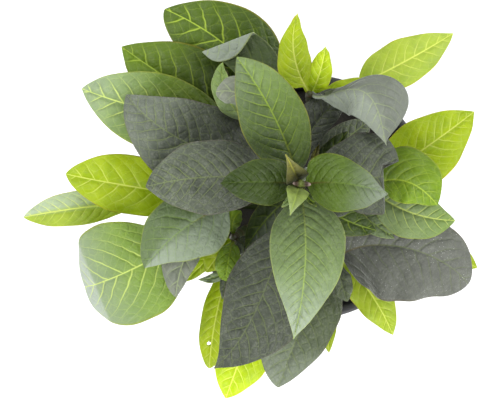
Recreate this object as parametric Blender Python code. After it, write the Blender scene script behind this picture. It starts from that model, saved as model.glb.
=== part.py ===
# Compact giant hygrophila grown above water in a small round pot, seen from above in the photograph.
# Millimetres below, the pot stands on its base at the origin and +Z is up.
# North is the top edge of the photograph (+Y), east its right edge (+X).

import math

import bmesh
import bpy
from mathutils import Vector

for existing in list(bpy.data.objects):
    bpy.data.objects.remove(existing)

MM = 0.001

# Pot
POT_HEIGHT = 72.0
POT_RIM_RADIUS = 46.5
POT_LIP_HEIGHT = 1.5
POT_COLLAR_RADIUS = 44.4
POT_COLLAR_FOOT = 63.0
POT_SIDE_RADIUS = 43.2
POT_BASE_RADIUS = 31.0
POT_CHAMFER = 1.8
POT_WALL = 1.3
POT_FLOOR = 1.6
POT_SEGMENTS = 36
DRAIN_HOLE_RADIUS = 3.5
DRAIN_HOLE_RING = 21.0
DRAIN_HOLES = 6

# Growing medium
MEDIUM_TOP = 61.8
MEDIUM_GAP = 0.4
MEDIUM_SEGMENTS = 24

# Stems
STEM_FOOT_GAP = 0.3
STEM_FOOT_RADIUS = 2.0
STEM_TOP_RADIUS = 1.3
STEM_SPANS = 8
STEM_SIDES_LEVEL = 1

# Leaves
LEAF_THICKNESS = 0.8
LEAF_ROWS = 8
LEAF_COLUMNS = 4
SMALL_LEAF_ROWS = 6
SMALL_LEAF_COLUMNS = 2
STALK_HALF_WIDTH = 0.9
SMALL_STALK_HALF_WIDTH = 0.7
TIP_HALF_WIDTH = 0.35
STALK_GAP = 0.6
BLADE_START = 0.06
BLADE_OPENS = 0.25
OUTLINE_POWER = 1.7
FOLD = (12.0, 12.0)
CURL = (26.0, 26.0)
ROLL = (0.0, 0.0)
MIDRIB_SAMPLES = 60
HEADING_SPAN = 4.0
CREASE_RADIUS = 0.8
CREASE_TURN = math.radians(168)
BEND_RADIUS = 2.5
BEND_TURN = math.radians(40)
TEAR_MARGIN = 3.0
CROSS_STEPS = 12

# Shoot tip
BUD_CENTRE = (-5.2, 4.3, 165.9)
BUD_HALF = (3.0, 1.1, 3.1)


def linear(red, green, blue):
    channels = []
    for value in (red, green, blue):
        share = value / 255
        if share <= 0.04045:
            channels.append(share / 12.92)
        else:
            channels.append(((share + 0.055) / 1.055) ** 2.4)
    return (channels[0], channels[1], channels[2], 1.0)


def surface(name, colour, roughness):
    material = bpy.data.materials.new(name)
    material.use_nodes = True
    shader = material.node_tree.nodes["Principled BSDF"]
    shader.inputs["Base Color"].default_value = colour
    shader.inputs["Roughness"].default_value = roughness
    material.diffuse_color = colour
    return material


POT_PLASTIC = surface("pot_black_plastic", linear(38, 38, 41), 0.45)
MEDIUM_FIBRE = surface("growing_medium_dark_fibre", linear(36, 33, 29), 0.95)
STEM_SKIN = surface("stem_green", linear(112, 128, 62), 0.5)
BUD_SKIN = surface("bud_brown", linear(122, 98, 78), 0.55)
LEAVES = {
    "dark": surface("leaf_dark_grey_green", linear(84, 94, 78), 0.5),
    "green": surface("leaf_mid_green", linear(92, 124, 56), 0.5),
    "lime_green": surface("leaf_lime_green", linear(124, 158, 48), 0.5),
    "lime": surface("leaf_lime", linear(168, 196, 62), 0.5),
    "pale": surface("leaf_pale_green", linear(138, 162, 112), 0.5),
    "silver": surface("leaf_silver_green", linear(136, 148, 142), 0.45),
    "bronze": surface("leaf_bronze_green", linear(104, 100, 62), 0.5),
}


def keep(name, data, material):
    piece = bpy.data.objects.new(name, data)
    bpy.context.collection.objects.link(piece)
    data.materials.append(material)
    return piece


def turned(name, profile, segments):
    """Closed body of revolution from an outline of radius and height that starts and ends on the axis."""
    shape = bmesh.new()
    outline = [shape.verts.new((radius * MM, 0, height * MM)) for radius, height in profile]
    edges = [shape.edges.new(pair) for pair in zip(outline, outline[1:])]
    bmesh.ops.spin(
        shape,
        geom=outline + edges,
        cent=(0, 0, 0),
        axis=(0, 0, 1),
        angle=math.tau,
        steps=segments,
        use_merge=True,
    )
    bmesh.ops.remove_doubles(shape, verts=shape.verts, dist=0.01 * MM)
    bmesh.ops.recalc_face_normals(shape, faces=shape.faces)
    data = bpy.data.meshes.new(name)
    shape.to_mesh(data)
    shape.free()
    return data


def along(points, share):
    """Point on the smooth curve through the points, share from 0 at the first to 1 at the last."""
    knots = [0.0]
    for start, end in zip(points, points[1:]):
        knots.append(knots[-1] + (end - start).length)
    whole = knots[-1]
    place = Vector((0, 0, 0))
    for number, point in enumerate(points):
        weight = 1.0
        for other, knot in enumerate(knots):
            if other != number:
                weight *= (share * whole - knot) / (knots[number] - knot)
        place += point * weight
    return place


# Pot: thin-walled turned pot with a collar, a rolled lip and drain holes round a closed centre.
inner_top = POT_SIDE_RADIUS - POT_WALL
inner_foot = POT_BASE_RADIUS - POT_WALL
collar_top = POT_HEIGHT - POT_LIP_HEIGHT
pot = keep(
    "pot",
    turned(
        "pot",
        [
            (0, 0),
            (POT_BASE_RADIUS - POT_CHAMFER, 0),
            (POT_BASE_RADIUS, POT_CHAMFER),
            (POT_SIDE_RADIUS, POT_COLLAR_FOOT - 1.0),
            (POT_COLLAR_RADIUS, POT_COLLAR_FOOT),
            (POT_COLLAR_RADIUS, collar_top - 0.8),
            (POT_RIM_RADIUS - 0.4, collar_top),
            (POT_RIM_RADIUS, collar_top + 0.4),
            (POT_RIM_RADIUS, POT_HEIGHT - 0.4),
            (POT_RIM_RADIUS - 0.5, POT_HEIGHT),
            (POT_COLLAR_RADIUS - 0.6, POT_HEIGHT),
            (POT_COLLAR_RADIUS - POT_WALL, POT_HEIGHT - 0.6),
            (POT_COLLAR_RADIUS - POT_WALL, POT_COLLAR_FOOT),
            (inner_top, POT_COLLAR_FOOT - 1.0),
            (inner_foot, POT_FLOOR),
            (0, POT_FLOOR),
        ],
        POT_SEGMENTS,
    ),
    POT_PLASTIC,
)

drill_shape = bmesh.new()
for number in range(DRAIN_HOLES):
    turn = math.tau * number / DRAIN_HOLES
    made = bmesh.ops.create_cone(
        drill_shape,
        cap_ends=True,
        segments=12,
        radius1=DRAIN_HOLE_RADIUS * MM,
        radius2=DRAIN_HOLE_RADIUS * MM,
        depth=8 * MM,
    )
    centre = Vector((math.cos(turn), math.sin(turn), 0)) * DRAIN_HOLE_RING * MM
    bmesh.ops.translate(drill_shape, verts=made["verts"], vec=centre)
drill_data = bpy.data.meshes.new("drain_drill")
drill_shape.to_mesh(drill_data)
drill_shape.free()
drill = keep("drain_drill", drill_data, POT_PLASTIC)
drill.hide_render = True
drill.display_type = "WIRE"
holes = pot.modifiers.new("Drain holes", "BOOLEAN")
holes.operation = "DIFFERENCE"
holes.solver = "EXACT"
holes.object = drill

# Growing medium: a firm plug that fills the pot to about a centimetre under the rim.
rise = (inner_top - inner_foot) / (POT_COLLAR_FOOT - 1.0 - POT_FLOOR)
medium_foot = POT_FLOOR + MEDIUM_GAP
keep(
    "growing_medium",
    turned(
        "growing_medium",
        [
            (0, medium_foot),
            (inner_foot - MEDIUM_GAP - 1.0, medium_foot),
            (inner_foot - MEDIUM_GAP, medium_foot + 1.0),
            (inner_foot - MEDIUM_GAP + rise * (MEDIUM_TOP - 1.5 - POT_FLOOR), MEDIUM_TOP - 1.5),
            (inner_top - MEDIUM_GAP - 1.4, MEDIUM_TOP),
            (0, MEDIUM_TOP),
        ],
        MEDIUM_SEGMENTS,
    ),
    MEDIUM_FIBRE,
)

# Stems: each is a round green shoot that leaves the plug and leans outwards.
stems = {}


def stem(name, foot, *points):
    axis = [Vector((foot[0], foot[1], MEDIUM_TOP))] + [Vector(point) for point in points]
    start = (along(axis, 0.02) - axis[0]).normalized()
    axis[0].z += STEM_FOOT_GAP + STEM_FOOT_RADIUS * math.hypot(start.x, start.y)
    stems[name] = axis
    data = bpy.data.curves.new("stem_" + name, "CURVE")
    data.dimensions = "3D"
    data.bevel_depth = MM
    data.bevel_resolution = STEM_SIDES_LEVEL
    data.use_fill_caps = True
    line = data.splines.new("POLY")
    line.points.add(STEM_SPANS)
    for number in range(STEM_SPANS + 1):
        share = number / STEM_SPANS
        place = along(axis, share) * MM
        line.points[number].co = (place.x, place.y, place.z, 1)
        line.points[number].radius = STEM_FOOT_RADIUS + (STEM_TOP_RADIUS - STEM_FOOT_RADIUS) * share
    keep("stem_" + name, data, STEM_SKIN)


def stem_place(name, height):
    """Centre of a stem and its radius at a height."""
    axis = stems[name]
    low = 0.0
    high = 1.0
    for _ in range(30):
        middle = (low + high) / 2
        if along(axis, middle).z < height:
            low = middle
        else:
            high = middle
    radius = STEM_FOOT_RADIUS + (STEM_TOP_RADIUS - STEM_FOOT_RADIUS) * low
    return along(axis, low), radius


def blade_share(share, belly):
    """Half width of a blade as a share of its widest, share from 0 at its base to 1 at its tip."""
    if share <= 0 or share >= 1:
        return 0.0
    rising = (share / belly) ** (OUTLINE_POWER * belly)
    falling = ((1 - share) / (1 - belly)) ** (OUTLINE_POWER * (1 - belly))
    return rising * falling


def folded_over(place, line, radius, most):
    """
    Place of a point once all beyond the line, left of it, has been folded over it by the angle most,
    round a bend of the radius: up if the radius is positive, down if it is negative.
    """
    start = Vector((line[0], line[1], 0))
    ahead = Vector((line[2] - line[0], line[3] - line[1], 0)).normalized()
    out = Vector((-ahead.y, ahead.x, 0))
    beyond = (Vector((place.x, place.y, 0)) - start).dot(out)
    if beyond <= 0:
        return place
    turn = min(beyond / abs(radius), most)
    rest = beyond - turn * abs(radius)
    reach = abs(radius) * math.sin(turn) + rest * math.cos(turn)
    lift = abs(radius) * (1 - math.cos(turn)) + rest * math.sin(turn)
    return place + out * (reach - beyond) + Vector((0, 0, math.copysign(lift, radius)))


def torn_off(place, line):
    """Place of a point once the blade ends at the line, left of it, from where the line starts."""
    start = Vector((line[0], line[1], 0))
    ahead = Vector((line[2] - line[0], line[3] - line[1], 0)).normalized()
    out = Vector((-ahead.y, ahead.x, 0))
    offset = Vector((place.x, place.y, 0)) - start
    beyond = offset.dot(out) + TEAR_MARGIN
    if beyond <= 0 or offset.dot(ahead) < 0:
        return place
    kept = TEAR_MARGIN * (1 - math.exp(-beyond / TEAR_MARGIN))
    return place + out * (kept - beyond)


def leaf(
    number,
    node,
    midrib,
    width,
    stalk,
    belly,
    kind,
    power=1.0,
    fold=FOLD,
    curl=CURL,
    roll=ROLL,
    small=False,
    crease=None,
    bent=None,
    torn=None,
    span=HEADING_SPAN,
):
    """
    Leaf of the current stem. node is the height where it joins the stem, midrib the points its
    midrib then passes, width the widest of the blade (or of its left and right halves), stalk the
    length without blade, belly the share of the blade where it is widest, power how pointed its
    outline is, fold the angle of each half against the midrib, curl how far each margin turns down,
    roll the tilt at foot and tip, crease, bent and torn the lines (x, y to x, y) where the blade is
    folded over, bends down or has been torn off, span how far to either side of a point the
    heading of the blade is taken.
    """
    name = "leaf_" + stem_name + "_" + number
    centre, radius = stem_place(stem_name, node)
    first = Vector(midrib[0])
    outward = Vector((first.x - centre.x, first.y - centre.y, 0)).normalized()
    axis = [centre + outward * (radius + STALK_GAP)] + [Vector(point) for point in midrib]
    rows = SMALL_LEAF_ROWS if small else LEAF_ROWS
    columns = SMALL_LEAF_COLUMNS if small else LEAF_COLUMNS
    stalk_half = SMALL_STALK_HALF_WIDTH if small else STALK_HALF_WIDTH
    halves = width if isinstance(width, tuple) else (width / 2, width / 2)
    bellies = belly if isinstance(belly, tuple) else (belly, belly)
    powers = power if isinstance(power, tuple) else (power, power)

    samples = [along(axis, step / MIDRIB_SAMPLES) for step in range(MIDRIB_SAMPLES + 1)]
    run = [0.0]
    for start, end in zip(samples, samples[1:]):
        run.append(run[-1] + (end - start).length)
    length = run[-1]
    stalk = min(stalk, length * 0.4)

    def at(distance):
        distance = min(max(distance, 0), length)
        step = 0
        while step < MIDRIB_SAMPLES - 1 and run[step + 1] < distance:
            step += 1
        part = (distance - run[step]) / (run[step + 1] - run[step])
        return samples[step].lerp(samples[step + 1], part)

    stations = [0.0, stalk * 0.75]
    spans = rows - 2
    for step in range(spans + 1):
        share = step / spans
        share = 0.02 + 0.975 * (share - 0.048 * math.sin(math.tau * share))
        stations.append(stalk + (length - stalk) * share)

    shape = bmesh.new()
    bmesh.ops.create_grid(shape, x_segments=rows, y_segments=columns, size=1)
    for vert in shape.verts:
        distance = stations[round((vert.co.x + 1) / 2 * rows)]
        across = -vert.co.y
        side = 0 if across < 0 else 1
        share = (distance - stalk) / (length - stalk)
        half = halves[side] * blade_share(share, bellies[side]) ** powers[side]
        half = max(half, stalk_half if share < BLADE_START else TIP_HALF_WIDTH)
        ahead = at(distance + span) - at(distance - span)
        heading = Vector((ahead.x, ahead.y, 0)).normalized()
        right = Vector((heading.y, -heading.x, 0))
        up = right.cross(ahead.normalized()).normalized()
        tilt = math.radians(roll[0] + (roll[1] - roll[0]) * distance / length)
        level = right * math.cos(tilt) - up * math.sin(tilt)
        rise = up * math.cos(tilt) + right * math.sin(tilt)
        opened = min(max(share / BLADE_OPENS, 0), 1)
        bend = math.radians(curl[side]) * opened * half / halves[side]
        reach = 0.0
        lift = 0.0
        for step in range(CROSS_STEPS):
            angle = math.radians(fold[side]) * opened - bend * (step + 0.5) / CROSS_STEPS * abs(across)
            reach += math.cos(angle) * half * abs(across) / CROSS_STEPS
            lift += math.sin(angle) * half * abs(across) / CROSS_STEPS
        place = at(distance) + level * math.copysign(reach, across) + rise * lift
        if crease:
            place = folded_over(place, crease, CREASE_RADIUS, CREASE_TURN)
        if bent:
            place = folded_over(place, bent, -BEND_RADIUS, BEND_TURN)
        if torn:
            place = torn_off(place, torn)
        vert.co = place * MM
    data = bpy.data.meshes.new(name)
    shape.to_mesh(data)
    shape.free()
    piece = keep(name, data, LEAVES[kind])
    body = piece.modifiers.new("Thickness", "SOLIDIFY")
    body.thickness = LEAF_THICKNESS * MM
    body.offset = 0


# Centre shoot: the tallest, with its leaves in crossed pairs that grow larger and darker downwards.
stem_name = "centre"
stem("centre", (-2, 2), (-4, 3, 110), (-5.5, 4.4, 161.5))
leaf(
    "1_back",
    158.5,
    [(-8.3, 9.8, 167.5), (-10.5, 14, 171)],
    8.5,
    1,
    0.2,
    "bronze",
    fold=(22, 22),
    small=True,
)
leaf("1_front", 158.5, [(-7.5, -1.6, 166.5), (-9, -6, 170)], 8, 1, 0.24, "pale", fold=(22, 22), small=True)
leaf("2_left", 153, [(-19.5, 5, 163), (-32.5, 4.5, 159)], 16, 2, 0.44, "green", power=1.15)
leaf("2_right", 153, [(9.5, 4.5, 163), (24.5, 1, 158)], 20, 2, (0.3, 0.44), "green", power=(1.2, 1.05))
leaf("3_back", 145, [(-14.5, 28, 154), (-27, 48, 149)], (12.2, 11), 3.5, (0.42, 0.47), "green")
leaf("3_front", 145, [(-3.5, -22, 154), (-7.5, -49, 149)], (13.7, 12.6), 3, 0.36, "pale", power=1.2)
leaf("4_left", 130, [(-33, 7, 141), (-59, 3.5, 134)], 26.5, 11, 0.46, "dark")
leaf(
    "4_right",
    130,
    [(13, 6, 138), (30, 7.5, 135)],
    (16, 13.5),
    3,
    (0.66, 0.72),
    "dark",
    power=(0.65, 0.9),
    torn=(24.3, 12, 25.3, -7),
)
leaf(
    "5_front",
    117,
    [(-15.5, -28.5, 128), (-23, -45.5, 127), (-35.5, -61.5, 119)],
    (17.6, 13.6),
    14,
    (0.45, 0.42),
    "dark",
    power=(1.45, 1.35),
)
leaf("5_back", 119, [(-1.5, 21.5, 127.5), (12, 37, 124)], (7.6, 5.2), 3.5, (0.6, 0.66), "dark")
leaf(
    "6_left",
    108,
    [(-26, 11.5, 122), (-44.5, 19, 129), (-66.5, 36.5, 122)],
    (16, 16.5),
    14.5,
    (0.44, 0.42),
    "dark",
)
leaf("6_right", 121, [(5, -2.5, 127), (12.5, -5.5, 126)], 8, 3, 0.55, "dark", small=True)
leaf("7_front", 104, [(-16, -7.5, 112), (-24, -18.5, 111)], 11, 3, 0.45, "green")
leaf("7_back", 107, [(8, 17, 114), (21.5, 28, 112)], 13, 3.5, 0.5, "dark")
leaf("7_right", 111, [(12.5, -8.5, 118), (23, -12, 116)], 11.5, 7, 0.45, "green")
leaf("8_right", 102, [(17.5, -6.5, 112), (29.5, -15, 114)], 9.5, 11, 0.5, "pale", small=True)

# Shoot tip: the closed brown bud between the youngest pair.
bud_shape = bmesh.new()
bmesh.ops.create_uvsphere(bud_shape, u_segments=8, v_segments=6, radius=MM)
bmesh.ops.scale(bud_shape, verts=bud_shape.verts, vec=BUD_HALF)
bmesh.ops.translate(bud_shape, verts=bud_shape.verts, vec=Vector(BUD_CENTRE) * MM)
bud_data = bpy.data.meshes.new("bud")
bud_shape.to_mesh(bud_data)
bud_shape.free()
keep("bud", bud_data, BUD_SKIN)

# North-east shoot: a silvery leaf that hangs over on its outer side, above light-filled small ones.
stem_name = "north_east"
stem("north_east", (3, 27), (0.5, 33, 95), (-1.5, 36.5, 130))
leaf(
    "1",
    128,
    [(9, 37, 136), (18, 35.8, 142.5), (22.8, 27, 143), (25.1, 17.8, 140)],
    (13.5, 9.6),
    3,
    (0.67, 0.46),
    "silver",
    power=(4, 1.6),
    fold=(-16, 6),
    curl=(14, 14),
    span=9.0,
)
leaf("2", 127, [(-7, 51, 131), (-5.5, 65, 126)], (6.8, 5.6), 3, (0.25, 0.38), "lime", power=1.1)
leaf("3", 120, [(2, 43, 126), (4.5, 53.5, 123)], 9, 1, 0.4, "lime", power=1.1, small=True)
leaf("4", 112, [(11.5, 38, 117), (23.5, 40.5, 114)], 8.5, 2, 0.5, "lime", small=True)
leaf("5", 101, [(25, 44.5, 113), (51.5, 59.5, 107)], (8.6, 8.5), 20, (0.38, 0.42), "lime")

# East shoot: bright leaves that reach past the pot.
stem_name = "east"
stem("east", (14, 4.5), (18.5, 3.5, 90), (20, 4, 118))
leaf("1", 117, [(32, 5.8, 124), (44.5, -3, 120)], (12.4, 8), 3, 0.42, "lime_green")
leaf("2", 110, [(36.5, -6, 117), (51.5, -8.5, 114)], (8, 9.6), 4.5, 0.44, "lime_green")
leaf("3", 105, [(40.5, 17.5, 113), (59, 31, 108)], (11.2, 13), 6, (0.42, 0.4), "lime")
leaf("4", 84, [(46, -17, 93), (62, -26.3, 90)], 15, 7, 0.5, "lime")

# South-east shoot: one broad dusty leaf over darker and lighter ones.
stem_name = "south_east"
stem("south_east", (5.5, -13.5), (8.5, -20, 84), (9.5, -22.5, 106))
leaf("1", 104, [(10.5, -30, 108.5), (13, -38, 107)], 8, 2, 0.5, "dark", small=True)
leaf(
    "2",
    98,
    [(28, -17.5, 108), (43.5, -21.5, 108), (57.5, -32, 101)],
    (14.5, 20.2),
    1,
    (0.46, 0.4),
    "dark",
    power=(0.8, 0.55),
    span=8.0,
)
leaf("3", 93, [(-4, -48, 104), (-12, -70, 99)], (12.2, 16), 3.5, 0.43, "dark", power=(1, 0.75))
leaf("4", 82, [(23.5, -37.5, 90), (31, -51.5, 86)], 15, 4.5, 0.44, "lime")
leaf("5", 76, [(6.5, -44.5, 84), (7.2, -58.5, 82)], 8.5, 3.5, 0.5, "lime", small=True)

# South shoot: short, with one light-filled leaf that passes under the others.
stem_name = "south"
stem("south", (-7, -20.5), (-12.5, -29.5, 70), (-15.5, -35, 78))
leaf("1", 76, [(-24, -55, 87), (-31.5, -75.5, 83)], (11.3, 10.5), 7, 0.46, "lime")

# South-west shoot: a young side shoot of narrow leaves, and one long bright leaf below them.
stem_name = "south_west"
stem("south_west", (-18, -10.5), (-25.5, -13, 90), (-28.5, -15, 111))
leaf("1", 109, [(-30, -22, 114), (-31.2, -30.5, 109)], 9.5, 1.5, 0.5, "green", small=True)
leaf("2", 105, [(-34.5, -22, 106), (-38.5, -27.5, 103)], 8, 1, 0.5, "lime", small=True)
leaf("3", 96, [(-38, -23, 99), (-46.3, -31.2, 96)], 6, 1.5, 0.5, "lime", small=True)
leaf("4", 84, [(-35, -44.5, 96), (-37.5, -63.5, 92)], (6.8, 5.4), 7, 0.6, "lime")

# West shoot: three broad leaves in a fan over the south-western edge of the pot.
stem_name = "west"
stem("west", (-14.5, 0.5), (-24, -1.5, 95), (-27.5, -2, 127.5))
leaf("1", 125, [(-44, -10, 131), (-60, -25.5, 122)], (13.2, 12.4), 3, (0.3, 0.42), "green")
leaf("2", 112, [(-45, -20.5, 121), (-49, -36, 118)], (5, 9), 3, 0.5, "silver")
leaf(
    "3",
    105,
    [(-53, -20, 115), (-69, -28, 114), (-84.7, -33.6, 102)],
    (19.2, 20.4),
    24,
    (0.5, 0.6),
    "lime_green",
    bent=(-72.1, -43.9, -83, -17.4),
    power=(0.8, 1.0),
)

# Far west shoot: two long leaves that the light shines through.
stem_name = "far_west"
stem("far_west", (-18, -3), (-32, -2, 84), (-41, -1, 98))
leaf("1", 96, [(-55, 2, 106), (-69.5, 4.5, 107), (-90, 8.5, 100)], (10.5, 11.4), 3, (0.5, 0.52), "lime")
leaf("2", 88, [(-70.5, -2.5, 97), (-106.5, -7.5, 90)], 13, 30, 0.52, "lime")

# North-west shoot: a small silvery pair over two large leaves.
stem_name = "north_west"
stem("north_west", (-11.5, 17.5), (-20, 24, 100), (-21.5, 27, 137))
leaf("1", 135, [(-26.5, 35.8, 141), (-34.3, 36.6, 138)], (4.4, 6.3), 1, (0.68, 0.5), "silver", small=True)
leaf("2", 125, [(-31, 36, 132), (-32, 47.5, 129)], (4.4, 3.8), 2, (0.5, 0.36), "pale")
leaf("3", 113, [(-52.5, 29.5, 121), (-83, 39, 114)], (14.2, 14), 7, (0.44, 0.5), "lime_green")
leaf("4", 105, [(-49.5, 41, 114), (-69, 54.5, 109)], (13, 16), 8, (0.42, 0.42), "green")

# North shoot: a broad quilted leaf, and above it one whose north half has curled over.
stem_name = "north"
stem("north", (-5, 22), (-10.5, 33, 90), (-14, 38, 114))
leaf(
    "1",
    110,
    [(-22.5, 48, 118.5), (-39.6, 52.2, 118)],
    (7, 10.4),
    2,
    (0.35, 0.62),
    "pale",
    power=(1.5, 0.5),
    fold=(5, 5),
    curl=(10, 0),
    crease=(-39, 50.8, -22.1, 57.3),
)
leaf(
    "2",
    99,
    [(-32.5, 56, 110), (-53.5, 68.5, 105)],
    (12.2, 15.8),
    3.5,
    (0.55, 0.4),
    "green",
    power=(0.8, 1),
)
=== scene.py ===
import math
import random

import bmesh
import bpy
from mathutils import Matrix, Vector, noise


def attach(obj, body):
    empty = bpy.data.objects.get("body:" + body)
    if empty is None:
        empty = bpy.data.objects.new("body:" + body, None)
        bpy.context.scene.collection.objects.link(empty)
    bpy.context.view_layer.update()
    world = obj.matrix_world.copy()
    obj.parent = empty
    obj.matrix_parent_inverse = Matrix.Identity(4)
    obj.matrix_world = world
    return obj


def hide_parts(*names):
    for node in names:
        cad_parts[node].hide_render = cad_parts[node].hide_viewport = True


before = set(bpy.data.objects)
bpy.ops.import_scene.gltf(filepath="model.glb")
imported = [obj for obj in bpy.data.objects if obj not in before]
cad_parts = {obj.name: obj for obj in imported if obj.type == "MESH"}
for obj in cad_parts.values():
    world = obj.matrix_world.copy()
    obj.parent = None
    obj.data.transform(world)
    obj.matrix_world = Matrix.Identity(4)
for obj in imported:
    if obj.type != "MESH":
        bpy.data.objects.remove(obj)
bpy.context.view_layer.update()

# Camera, light and floor.
# The plant is seen from straight above, on a white table, in soft light from all round
# that is strongest from the front and the sides and weak from right overhead.
MM = 0.001
VIEW_CENTRE = (-22.4, -1.1)
EYE_HEIGHT = 870.0
LENS = 151.2
SENSOR_WIDTH = 36.0
LIT_SPOT = Vector((0, 0, 0.1))
ROOM_LIGHT = 0.42
TABLE_HALF_WIDTH = 1.6

camera = bpy.data.objects.new("camera", bpy.data.cameras.new("camera"))
bpy.context.collection.objects.link(camera)
camera.location = (VIEW_CENTRE[0] * MM, VIEW_CENTRE[1] * MM, EYE_HEIGHT * MM)
camera.data.lens = LENS
camera.data.sensor_width = SENSOR_WIDTH
bpy.context.scene.camera = camera
bpy.context.scene.view_settings.view_transform = "Standard"


def from_hex(text):
    """Linear colour of an sRGB hex value."""
    channels = []
    for start in (1, 3, 5):
        share = int(text[start:start + 2], 16) / 255
        channels.append(share / 12.92 if share <= 0.04045 else ((share + 0.055) / 1.055) ** 2.4)
    return (channels[0], channels[1], channels[2], 1.0)


def softbox(name, place, size, watts):
    """A large square diffuser panel that faces the plant."""
    lamp = bpy.data.objects.new(name, bpy.data.lights.new(name, "AREA"))
    lamp.data.shape = "SQUARE"
    lamp.data.size = size
    lamp.data.energy = watts
    bpy.context.collection.objects.link(lamp)
    lamp.location = place
    toward = LIT_SPOT - Vector(place)
    lamp.rotation_euler = toward.to_track_quat("-Z", "Y").to_euler()


softbox("softbox_front", place=(0.1, -0.95, 0.95), size=0.9, watts=20.0)
softbox("softbox_left", place=(-1.0, 0.1, 0.85), size=0.8, watts=12.0)
softbox("softbox_right", place=(1.0, 0.25, 0.85), size=0.8, watts=13.0)
softbox("softbox_back", place=(-0.2, 1.05, 0.85), size=0.8, watts=8.0)

sky = bpy.data.worlds.new("white_room")
bpy.context.scene.world = sky
sky.use_nodes = True
sky.node_tree.nodes["Background"].inputs["Color"].default_value = from_hex("#F4F6F8")
sky.node_tree.nodes["Background"].inputs["Strength"].default_value = ROOM_LIGHT


def add(tree, kind, inputs=None, **settings):
    """Adds a node with its settings. Each of its inputs is given a value or another node's output."""
    made = tree.nodes.new(kind)
    for key, value in settings.items():
        setattr(made, key, value)
    for key, value in (inputs or {}).items():
        if isinstance(value, bpy.types.NodeSocket):
            tree.links.new(value, made.inputs[key])
        else:
            made.inputs[key].default_value = value
    return made


def ramp(tree, source, start, end, low=0.0, high=1.0, smooth=False):
    """Goes from low to high as the source goes from start to end, and stays there beyond them."""
    inputs = {0: source, 1: start, 2: end, 3: low, 4: high}
    kind = "SMOOTHSTEP" if smooth else "LINEAR"
    return add(tree, "ShaderNodeMapRange", inputs, interpolation_type=kind).outputs[0]


def maths(tree, operation, *values, clamp=False):
    """Number worked out from one to three others."""
    inputs = dict(enumerate(values))
    return add(tree, "ShaderNodeMath", inputs, operation=operation, use_clamp=clamp).outputs[0]


def blend(tree, share, under, over, mode="MIX"):
    """Colour that goes from under to over as the share goes from 0 to 1. Either can be a hex value."""
    under, over = (from_hex(part) if isinstance(part, str) else part for part in (under, over))
    inputs = {0: share, 6: under, 7: over}
    return add(tree, "ShaderNodeMix", inputs, data_type="RGBA", blend_type=mode).outputs[2]


def clouds(tree, where, scale, detail, **more):
    """Soft random pattern from 0 to 1, its scale the number of patches to one unit of where."""
    inputs = {"Vector": where, "Scale": scale, "Detail": detail, **more}
    return add(tree, "ShaderNodeTexNoise", inputs).outputs["Fac"]


def bump(tree, height, strength, depth, under=None):
    """Relief that stands as proud as the depth in metres where the height is 1, over the one under it."""
    inputs = {"Height": height, "Strength": strength, "Distance": depth}
    if under:
        inputs["Normal"] = under
    return add(tree, "ShaderNodeBump", inputs).outputs["Normal"]


def finish_named(name):
    """A new node material, its tree and its shader, ready for its pattern."""
    material = bpy.data.materials.new(name)
    material.use_nodes = True
    return material, material.node_tree, material.node_tree.nodes["Principled BSDF"]


def place_in(tree):
    """Place on the object, in metres."""
    return add(tree, "ShaderNodeTexCoord").outputs["Object"]


def placed(name, shape):
    """Object at the origin with the shape for its mesh."""
    data = bpy.data.meshes.new(name)
    shape.to_mesh(data)
    shape.free()
    made = bpy.data.objects.new(name, data)
    bpy.context.collection.objects.link(made)
    return made


# White table paper: matt, evenly bright.
paper, tree, shader = finish_named("matt_white_table_paper")
shader.inputs["Base Color"].default_value = from_hex("#F2F3F3")
shader.inputs["Roughness"].default_value = 0.95
shader.inputs["Specular IOR Level"].default_value = 0.1
table_shape = bmesh.new()
bmesh.ops.create_grid(table_shape, x_segments=2, y_segments=2, size=TABLE_HALF_WIDTH)
table = placed("table", table_shape)
table.data.materials.append(paper)


# Pot.
# A thin round nursery pot of black polypropylene, moulded with a collar and a rolled lip,
# and with drain holes round its closed middle. It stands on its base and carries the plug.
ROUND_SEGMENTS = 128
DRAIN_HOLES = 6
DRAIN_RADIUS = 3.5
DRAIN_CIRCLE = 21.0


def keep(name, shape, material):
    """Makes a smooth piece of the plant or pot from a shape, riding with everything else."""
    piece = placed(name, shape)
    for face in piece.data.polygons:
        face.use_smooth = True
    piece.data.materials.append(material)
    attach(piece, "root")
    return piece


def turned(profile):
    """Closed body of revolution from an outline of radius and height that starts and ends on the axis."""
    shape = bmesh.new()
    outline = [shape.verts.new((radius * MM, 0, height * MM)) for radius, height in profile]
    edges = [shape.edges.new(pair) for pair in zip(outline, outline[1:])]
    bmesh.ops.spin(
        shape,
        geom=outline + edges,
        cent=(0, 0, 0),
        axis=(0, 0, 1),
        angle=math.tau,
        steps=ROUND_SEGMENTS,
        use_merge=True,
    )
    bmesh.ops.remove_doubles(shape, verts=shape.verts, dist=0.01 * MM)
    bmesh.ops.recalc_face_normals(shape, faces=shape.faces)
    return shape


# Injection-moulded polypropylene, black: satin, with a fine even grain and a faint dusty bloom.
pot_plastic, tree, shader = finish_named("black_moulded_polypropylene")
where = place_in(tree)
dusty = clouds(tree, where, 55.0, 4.0)
tree.links.new(blend(tree, dusty, "#1B1B1E", "#2F2F33"), shader.inputs["Base Color"])
tree.links.new(ramp(tree, dusty, 0, 1, 0.36, 0.56), shader.inputs["Roughness"])
tree.links.new(bump(tree, clouds(tree, where, 1400.0, 3.0), 0.35, 0.00012), shader.inputs["Normal"])
shader.inputs["IOR"].default_value = 1.49

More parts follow.
